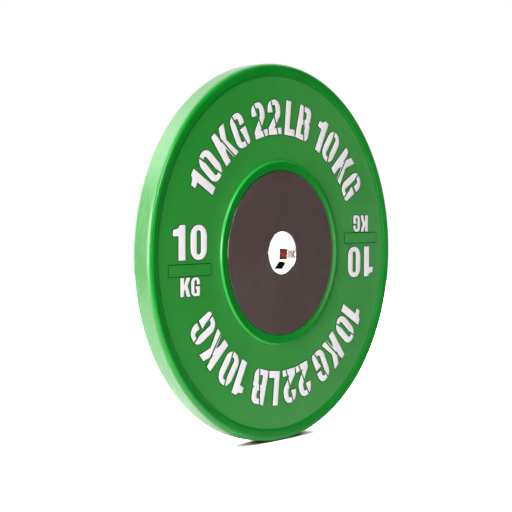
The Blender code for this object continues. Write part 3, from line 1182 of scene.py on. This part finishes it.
    def build_fasteners(self, wardrobe: Wardrobe) -> None:
        """The countersunk socket screws and the calibration plugs, just under the rear face.

        Args:
            wardrobe: The scene's materials.
        """
        edge = self.top + self.screw_head_edge
        neck = edge + self.screw_head - self.screw_radius
        screw = self.socket(self.screw_socket, self.screw_socket_depth, cone=0.0007,
                            lead=0.00025)
        screw += [
            (self.screw_head - self.screw_head_bevel, self.top, 0),
            (self.screw_head, self.top + self.screw_head_bevel, 0), (self.screw_head, edge, 0),
            (self.screw_radius + self.screw_neck_bevel, neck - self.screw_neck_bevel, 0),
            (self.screw_radius, neck + self.screw_neck_bevel, 0),
            (self.screw_radius, self.tip - self.tip_bevel, 0),
            (self.screw_radius - self.tip_bevel, self.tip, 0), (0, self.tip, 0)]
        self.stand("socket_screw", "hub_screw", self.screws, screw, wardrobe)
        plug = self.socket(self.plug_socket, self.plug_socket_depth, cone=0.0005, lead=0.0003)
        plug += [
            (self.plug_radius - self.plug_bevel, self.top, 0),
            (self.plug_radius, self.top + self.plug_bevel, 0),
            (self.plug_radius, -self.back - self.plug_foot_bevel, 0),
            (self.plug_radius - self.plug_foot_bevel, -self.back, 0), (0, -self.back, 0)]
        self.stand("threaded_plug", "calibration_plug", self.plugs, plug, wardrobe)

    def build(self, wardrobe: Wardrobe) -> None:
        """Make every piece of the hub.

        Args:
            wardrobe: The scene's materials.
        """
        self.build_front_disc(wardrobe)
        self.build_rear_disc(wardrobe)
        self.build_bushes(wardrobe)
        self.build_fasteners(wardrobe)


# Outlines of the figures at height one: the outer one first, then the holes. A corner is
# (x, y, radius).
GLYPHS: dict[str, list[list[Triple]]] = {
    "1": [[(0.22, 0, 0), (0.50, 0, 0), (0.50, 1, 0), (0.28, 1, 0), (0.21, 0.91, 0.08),
           (0, 0.86, 0), (0, 0.69, 0), (0.22, 0.69, 0)]],
    "0": [[(0, 0, 0.31), (0.68, 0, 0.31), (0.68, 1, 0.31), (0, 1, 0.31)],
          [(0.25, 0.15, 0.088), (0.43, 0.15, 0.088), (0.43, 0.85, 0.088), (0.25, 0.85, 0.088)]],
    "K": [[(0, 0, 0), (0.27, 0, 0), (0.27, 0.27, 0), (0.34, 0.42, 0), (0.48, 0, 0), (0.77, 0, 0),
           (0.54, 0.56, 0), (0.75, 1, 0), (0.47, 1, 0), (0.27, 0.60, 0), (0.27, 1, 0), (0, 1, 0)]],
    "G": [[(0.43, 0.62, 0), (0.67, 0.62, 0), (0.67, 1, 0.28), (0, 1, 0.28), (0, 0, 0.28),
           (0.67, 0, 0.12), (0.67, 0.52, 0), (0.35, 0.52, 0), (0.35, 0.37, 0), (0.43, 0.37, 0),
           (0.43, 0.15, 0.08), (0.245, 0.15, 0.085), (0.245, 0.85, 0.085), (0.43, 0.85, 0.085)]],
    "2": [[(0, 0.64, 0), (0, 1, 0.28), (0.66, 1, 0.28), (0.66, 0.56, 0.22), (0.30, 0.19, 0),
           (0.66, 0.19, 0), (0.66, 0, 0), (0, 0, 0), (0, 0.20, 0.03), (0.42, 0.62, 0.12),
           (0.42, 0.85, 0.085), (0.245, 0.85, 0.085), (0.245, 0.64, 0)]],
    "L": [[(0, 0, 0), (0.54, 0, 0), (0.54, 0.20, 0), (0.26, 0.20, 0), (0.26, 1, 0), (0, 1, 0)]],
    "B": [[(0, 0, 0), (0.68, 0, 0.20), (0.68, 0.52, 0.08), (0.60, 0.54, 0), (0.66, 0.58, 0.08),
           (0.66, 1, 0.20), (0, 1, 0)],
          [(0.25, 0.165, 0), (0.43, 0.165, 0.07), (0.43, 0.445, 0.07), (0.25, 0.445, 0)],
          [(0.25, 0.615, 0), (0.42, 0.615, 0.07), (0.42, 0.84, 0.07), (0.25, 0.84, 0)]],
}


def embossed(outlines: list[np.ndarray], rows: np.ndarray) -> Solid:
    """Raise flat outlines into a solid with shaped walls.

    A wall is a profile of (inset, height) rows carried along each outline: the point of row i
    on outline point j is P_j moved by inset_i along the mitred inward normal, at height_i. The
    first and the last row are closed by flat faces, which leave the holes open.

    Args:
        outlines: The outer outline first, then its holes, as (x, y) points.
        rows: Pairs of inset and height, from the foot to the top.

    Returns:
        The solid, with its height along +Z.
    """
    work = bmesh.new()
    feet, tops = [], []
    for number, outline in enumerate(outlines):
        ahead = unit(np.roll(outline, -1, axis=0) - outline)
        behind = unit(outline - np.roll(outline, 1, axis=0))
        area = (outline[:, 0] * np.roll(outline[:, 1], -1)
                - outline[:, 1] * np.roll(outline[:, 0], -1)).sum()
        sense = math.copysign(1.0, area) * (1.0 if number == 0 else -1.0)
        both = ahead + behind
        inward = unit(np.stack([-both[:, 1], both[:, 0]], axis=1) * sense)
        own = np.stack([-ahead[:, 1], ahead[:, 0]], axis=1) * sense
        mitre = inward / np.clip((inward * own).sum(1), MITRE_LIMIT, 1.0)[:, None]
        grid = outline[None] + rows[:, :1, None] * mitre[None]
        levels = np.broadcast_to(rows[:, 1:, None], (*grid.shape[:2], 1))
        points = np.concatenate([grid, levels], axis=2)
        rings = [[work.verts.new(point) for point in ring] for ring in points]
        for lower, upper in zip(rings, rings[1:]):
            for here, there, above, beside in zip(lower, lower[1:] + lower[:1],
                                                  upper[1:] + upper[:1], upper):
                work.faces.new((here, there, above, beside))
        feet.append(rings[0])
        tops.append(rings[-1])
    for loops in (feet, tops):
        edges = [work.edges.get(pair) for loop in loops
                 for pair in zip(loop, loop[1:] + loop[:1])]
        bmesh.ops.triangle_fill(work, use_beauty=True, use_dissolve=False, edges=edges)
    bmesh.ops.recalc_face_normals(work, faces=work.faces[:])
    return work


def slit(work: Solid, spot: Vector, across: Vector, width: float) -> None:
    """Cut a straight slit through a solid and close both sides of it.

    Args:
        work: The solid.
        spot: A point on the slit's middle.
        across: The direction across the slit.
        width: The slit's width.
    """
    for reach in (-width / 2, width / 2):
        everything = work.verts[:] + work.edges[:] + work.faces[:]
        bmesh.ops.bisect_plane(work, geom=everything, dist=HAIR, plane_co=spot + across * reach,
                               plane_no=across)
    gone = [face for face in work.faces
            if abs((face.calc_center_median() - spot).dot(across)) < width / 2 - HAIR]
    bmesh.ops.delete(work, geom=gone, context="FACES")
    open_edges = [edge for edge in work.edges if edge.is_boundary]
    bmesh.ops.holes_fill(work, edges=open_edges, sides=0)


@dataclass
class Figures:
    """The raised white figures and the bare bars between them, the same on both faces.

    The weight stands at the left and, turned half round, at the right. Large cut figures
    follow an arc over the hub and, turned half round, another under it.
    """

    field_depth: float = FIELD_DEPTH
    rise: float = 0.0009
    root: float = 0.0006
    bevel: float = 0.0013
    overhang: float = 0.0009
    squeeze: float = 0.86
    weight_x: float = -0.1604
    weight_gap: float = 0.0084
    weight_base: float = -0.0040
    weight_height: float = 0.0389
    unit_base: float = -0.0442
    unit_height: float = 0.0210
    unit_gap: float = 0.0012
    bar_centre: float = -0.0153
    bar_length: float = 0.0683
    bar_height: float = 0.0125
    bar_round: float = 0.0008
    arc_inner: float = 0.1412
    arc_height: float = 0.0412
    arc_gap: float = 0.0050
    word_gap: float = 0.0090
    phrase_gap: float = 0.0140
    slit_width: float = 0.0022
    slit_lean: float = 14.0
    round_steps: int = 5
    flat_top: float = 0.97
    sharp: float = 40.0
    stems: str = "1L"
    arc_words: tuple[str, ...] = ("10", "KG", "22", "LB", "10", "KG")

    def rows(self) -> np.ndarray:
        """The wall of a raised figure: a short upright foot, then a quarter round to its top.

        Returns:
            Pairs of inset and height, from the foot to the top.
        """
        turn = np.linspace(0, np.pi / 2, self.round_steps + 1)
        rounded = np.stack([self.bevel * (1 - np.cos(turn)) - self.overhang,
                            self.rise - self.bevel + self.bevel * np.sin(turn)], axis=1)
        return np.concatenate([[(-self.overhang, -self.root)], rounded])

    def figure(self, symbol: str, height: float, cut: bool) -> tuple[Solid, float]:
        """One figure standing on y = 0 from x = 0.

        Args:
            symbol: The figure's key in GLYPHS.
            height: Its height.
            cut: Whether a steep slit crosses it, as in cut figures. A plain stem has none.

        Returns:
            The solid and its width.
        """
        scale = np.array([height * (self.squeeze if cut else 1.0), height])
        outlines = [filleted(loop) * scale for loop in GLYPHS[symbol]]
        work = embossed(outlines, self.rows())
        width = float(outlines[0][:, 0].max())
        if cut and symbol not in self.stems:
            lean = math.radians(self.slit_lean)
            across = Vector((math.cos(lean), math.sin(lean), 0.0))
            slit(work, Vector((width / 2, height / 2, 0.0)), across, self.slit_width)
        return work, width

    def placed(self, work: Solid, right: Vector, up: Vector, spot: Vector) -> np.ndarray:
        """A solid's vertices in the model: its x and y along two directions, its height outwards.

        Args:
            work: The solid.
            right: Where its x goes.
            up: Where its y goes.
            spot: Where its origin goes, in the plane of the field.

        Returns:
            One row per vertex.
        """
        out = Vector((0.0, -1.0, 0.0))
        flat = np.array([vertex.co for vertex in work.verts])
        base = np.array(spot) + np.array([0.0, -self.field_depth, 0.0])
        return flat @ np.array([right, up, out]) + base

    def upright(self, work: Solid, x: float, z: float) -> tuple[Solid, np.ndarray]:
        """A solid with its vertices' places, upright at a spot of the front face."""
        spot = Vector((x, 0.0, z))
        return work, self.placed(work, Vector((1, 0, 0)), Vector((0, 0, 1)), spot)

    def line(self, text: str, height: float, gap: float, base: float) -> Row:
        """Figures in a straight row, centred on the weight's place.

        Args:
            text: The figures.
            height: Their height.
            gap: The space between two of them.
            base: The Z that they stand on.

        Returns:
            Each solid and its vertices' places.
        """
        solids = [self.figure(symbol, height, False) for symbol in text]
        total = sum(width for _, width in solids) + gap * (len(solids) - 1)
        reach, row = self.weight_x - total / 2, []
        for work, width in solids:
            row.append(self.upright(work, reach, base))
            reach += width + gap
        return row

    def arc(self) -> Row:
        """Cut figures over the hub, each upright on its own radius.

        The run of widths and gaps along the middle circle, less half of its total, gives each
        figure's angle from the top.

        Returns:
            Each solid and its vertices' places.
        """
        solids, reach = [], 0.0
        for number, word in enumerate(self.arc_words):
            reach += (self.word_gap if number % 2 else self.phrase_gap) if number else 0.0
            for place, symbol in enumerate(word):
                reach += self.arc_gap if place else 0.0
                work, width = self.figure(symbol, self.arc_height, True)
                solids.append((work, width, reach + width / 2))
                reach += width
        middle = self.arc_inner + self.arc_height / 2
        row = []
        for work, width, run in solids:
            angle = math.pi / 2 - (run - reach / 2) / middle
            up = Vector((math.cos(angle), 0.0, math.sin(angle)))
            right = Vector((math.sin(angle), 0.0, -math.cos(angle)))
            spot = up * self.arc_inner - right * (width / 2)
            row.append((work, self.placed(work, right, up, spot)))
        return row

    def bar(self) -> Row:
        """The bare raised bar under the weight.

        Returns:
            Its solid and its vertices' places.
        """
        half, tall = self.bar_length / 2, self.bar_height / 2
        corners = ((-half, -tall), (half, -tall), (half, tall), (-half, tall))
        outline = filleted([(x, y, self.bar_round) for x, y in corners], steps=4)
        return [self.upright(embossed([outline], self.rows()), self.weight_x, self.bar_centre)]

    def store(self, name: str, row: Row, side: Side, turned_over: bool,
              materials: list[Material]) -> None:
        """Put one row of solids into the scene as a piece.

        Args:
            name: The piece's name.
            row: Solids and their places on the front face.
            side: The face that the piece belongs to.
            turned_over: Whether it is turned half round the bore.
            materials: The wall's material, a near-black painted shade, then the top's.
        """
        flip = np.array([-1.0, 1.0, -1.0]) if turned_over else np.ones(3)
        spin = flip * np.array([side.value, side.value, 1.0])
        vertices, faces, first = [], [], 0
        for work, places in row:
            work.verts.index_update()
            vertices.append(places * spin)
            faces += [[loop.vert.index + first for loop in face.loops] for face in work.faces]
            first += len(places)
        made = make_object(name, np.concatenate(vertices), faces, self.sharp)
        work = bmesh.new()
        work.from_mesh(made.data)
        bmesh.ops.recalc_face_normals(work, faces=work.faces[:])
        for face in work.faces:
            # walls take the near-black painted-shade material, flat tops the paint or the rubber
            face.material_index = 1 if -side.value * face.normal.y > self.flat_top else 0
        work.to_mesh(made.data)
        work.free()
        finish_piece(made, materials)

    def build(self, wardrobe: Wardrobe) -> None:
        """Make the figures of both faces.

        Args:
            wardrobe: The scene's materials.
        """
        weight = self.line("10", self.weight_height, self.weight_gap, self.weight_base)
        weight += self.line("KG", self.unit_height, self.unit_gap, self.unit_base)
        arc, bar = self.arc(), self.bar()
        painted, bare = [wardrobe.shaded_wall, wardrobe.paint], [wardrobe.shaded_wall, wardrobe.rubber]
        for side in Side:
            face = side.name.lower()
            for over, place in ((False, "left"), (True, "right")):
                self.store(f"weight_figures_{face}_{place}", weight, side, over, painted)
                self.store(f"raised_bar_{face}_{place}", bar, side, over, bare)
            for over, place in ((False, "upper"), (True, "lower")):
                self.store(f"arc_figures_{face}_{place}", arc, side, over, painted)
        for work, _ in weight + arc + bar:
            work.free()


@dataclass
class PhotoCamera:
    """The photograph's view, fitted to the plate's circles."""

    azimuth: float = 50.48
    elevation: float = 1.89
    distance: float = 1.597
    focal_pixels: float = 1328.1
    centre: tuple[float, float] = (274.00, 252.62)
    aim: Triple = (0.0, 0.000375, 0.0)
    sensor: float = 36.0

    def build(self) -> None:
        """Place the camera and make it the scene's."""
        turn, rise = math.radians(self.azimuth), math.radians(self.elevation)
        back = Vector((-math.sin(turn) * math.cos(rise), -math.cos(turn) * math.cos(rise),
                       math.sin(rise)))
        data = bpy.data.cameras.new("photo_camera")
        data.sensor_width = self.sensor
        data.lens = self.focal_pixels / PHOTO_PIXELS * self.sensor
        data.shift_x = (PHOTO_PIXELS / 2 - self.centre[0]) / PHOTO_PIXELS
        data.shift_y = (self.centre[1] - PHOTO_PIXELS / 2) / PHOTO_PIXELS
        spot = Vector(self.aim) + back * self.distance
        bpy.context.scene.camera = aimed("photo_camera", data, spot, back)


@dataclass(frozen=True)
class SoftLight:
    """A softbox: where it stands, how large it is and how strongly it lights the plate."""

    name: str
    towards: Triple
    distance: float
    width: float
    height: float
    level: float

    def build(self) -> None:
        """Place the lamp so that a white face turned to it is lit at the level."""
        way = Vector(self.towards).normalized()
        lamp = bpy.data.lights.new(self.name, "AREA")
        lamp.shape = "RECTANGLE"
        lamp.size, lamp.size_y = self.width, self.height
        lamp.energy = self.level * math.pi ** 2 * self.distance ** 2
        aimed(self.name, lamp, way * self.distance, way)


def sheet(name: str, middle: Vector, along: Vector, up: Vector, material: Material) -> Object:
    """A flat rectangle of the stage.

    Args:
        name: The sheet's name.
        middle: Its centre.
        along: Half of its width, as a vector.
        up: Half of its height, as a vector.
        material: Its material.

    Returns:
        The sheet.
    """
    corners = np.array([middle - along - up, middle + along - up, middle + along + up,
                        middle - along + up])
    made = make_object(name, corners, [[0, 1, 2, 3]])
    made.data.materials.append(material)
    return made


@dataclass(frozen=True)
class StudioCard:
    """A card that only mirrored rays see: it stands in the polished bore's reflections."""

    centre: Triple
    width: float
    height: float
    finish: CardFinish

    def build(self) -> None:
        """Stand the card upright, facing the bore."""
        middle = Vector(self.centre)
        along = Vector((-middle.y, middle.x, 0.0)).normalized() * (self.width / 2)
        up = Vector((0.0, 0.0, self.height / 2))
        made = sheet(self.finish.name, middle, along, up, self.finish.material())
        layer = made.data.uv_layers.new(name="card")
        layer.data.foreach_set("uv", [0.0, 0.0, 1.0, 0.0, 1.0, 1.0, 0.0, 1.0])
        made.visible_camera = made.visible_diffuse = made.visible_shadow = False


@dataclass
class Studio:
    """The white floor, the world round it, the soft lights and two dark cards."""

    floor_reach: float = 3.0
    floor_gap: float = 0.0001
    front_fill: float = 0.08
    rear_fill: float = 0.90
    front_mirror: float = 0.03
    right_mirror: float = 2.0
    left_mirror: float = 8.5
    low_right_mirror: float = 0.3
    fill_turn_y: tuple[float, float] = (-0.2, 0.2)
    mirror_turn_y: tuple[float, float] = (-0.12, 0.02)
    right_to_left_x: tuple[float, float] = (0.4, -0.5)
    low_to_high_z: tuple[float, float] = (-0.12, 0.06)
    lights: tuple[SoftLight, ...] = (
        SoftLight("left_softbox", towards=(-0.97, -0.24, 0.00), distance=3.0,
                  width=1.6, height=1.9, level=3.35),
        SoftLight("rear_left_softbox", towards=(-0.77, 0.64, 0.08), distance=2.4,
                  width=1.4, height=1.6, level=0.25),
        SoftLight("upper_left_lamp", towards=(-0.60, -0.20, 0.77), distance=2.4,
                  width=0.70, height=0.70, level=0.45),
        SoftLight("front_lamp", towards=(-0.36, -0.80, 0.47), distance=2.4,
                  width=0.90, height=0.90, level=0.37),
        SoftLight("right_card", towards=(0.54, -0.84, 0.00), distance=1.8,
                  width=0.36, height=0.36, level=0.045),
    )
    # The cards glow by emission, with painted light in their middles; only mirrored rays see them.
    cards: tuple[StudioCard, ...] = (
        StudioCard(centre=(-0.578, 0.477, 0.105), width=0.42, height=0.658, finish=CardFinish(
            "red_card", middle=(0.34, 0.050, 0.026), edge=(0.080, 0.026, 0.004))),
        StudioCard(centre=(-0.0125, 0.160, 0.162), width=0.155, height=0.078, finish=CardFinish(
            "black_card", middle=(0.012, 0.006, 0.002), edge=(0.004, 0.003, 0.002))),
    )

    def build_floor(self) -> None:
        """A large square under the tread, a hair lower so that it never cuts the rubber."""
        middle = Vector((0.0, 0.0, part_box("rubber_body")[0].z - self.floor_gap))
        sheet("studio_floor", middle, Vector((self.floor_reach, 0.0, 0.0)),
              Vector((0.0, self.floor_reach, 0.0)), StageFinish().material())

    def build_world(self) -> None:
        """White to the camera; plain fill light; reflections white behind and darker in front."""
        world = bpy.data.worlds.new("studio_world")
        bpy.context.scene.world = world
        wire = emptied(world)
        path = wire.add("LightPath").outputs
        x, y, z = wire.parts(wire.add("TexCoord").outputs["Generated"])
        fill = wire.spread(y, *self.fill_turn_y, self.front_fill, self.rear_fill)
        low = wire.spread(z, *self.low_to_high_z, self.low_right_mirror, 1.0)
        right = wire.times(low, self.right_mirror)
        rear = wire.spread(x, *self.right_to_left_x, right, self.left_mirror)
        seen = wire.times(rear, wire.spread(y, *self.mirror_turn_y))
        seen = wire.most(seen, self.front_mirror)
        mirrored = wire.most(path["Is Glossy Ray"], path["Is Transmission Ray"])
        level = wire.choose(path["Is Camera Ray"], wire.choose(mirrored, fill, seen), 1.0)
        sky = wire.add("Background", {"Color": (1.0, 1.0, 1.0, 1.0), "Strength": level})
        wire.add("OutputWorld", {"Surface": sky.outputs[0]})

    def build(self) -> None:
        """Set the stage."""
        bpy.context.scene.view_settings.view_transform = "Standard"
        self.build_floor()
        self.build_world()
        for piece in self.lights + self.cards:
            piece.build()


def dress_hidden_nodes(wardrobe: Wardrobe) -> None:
    """Give the steel core and the trim slugs, which stay as CAD nodes, their finish.

    Args:
        wardrobe: The scene's materials.
    """
    for name in ("core_ring", "calibration_weight_1", "calibration_weight_2"):
        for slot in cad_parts[name].material_slots:
            slot.material = wardrobe.core


def main() -> None:
    """Build every piece in order, then the camera and the studio."""
    logging.basicConfig(level=logging.INFO, format="%(message)s")
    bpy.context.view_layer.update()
    PhotoCamera().build()
    wardrobe = Wardrobe()
    for piece in (RubberRing(), Hub(), Figures()):
        piece.build(wardrobe)
        LOG.info("built %s", type(piece).__name__)
    dress_hidden_nodes(wardrobe)
    Studio().build()
    bpy.context.view_layer.update()


if __name__ == "__main__":
    main()
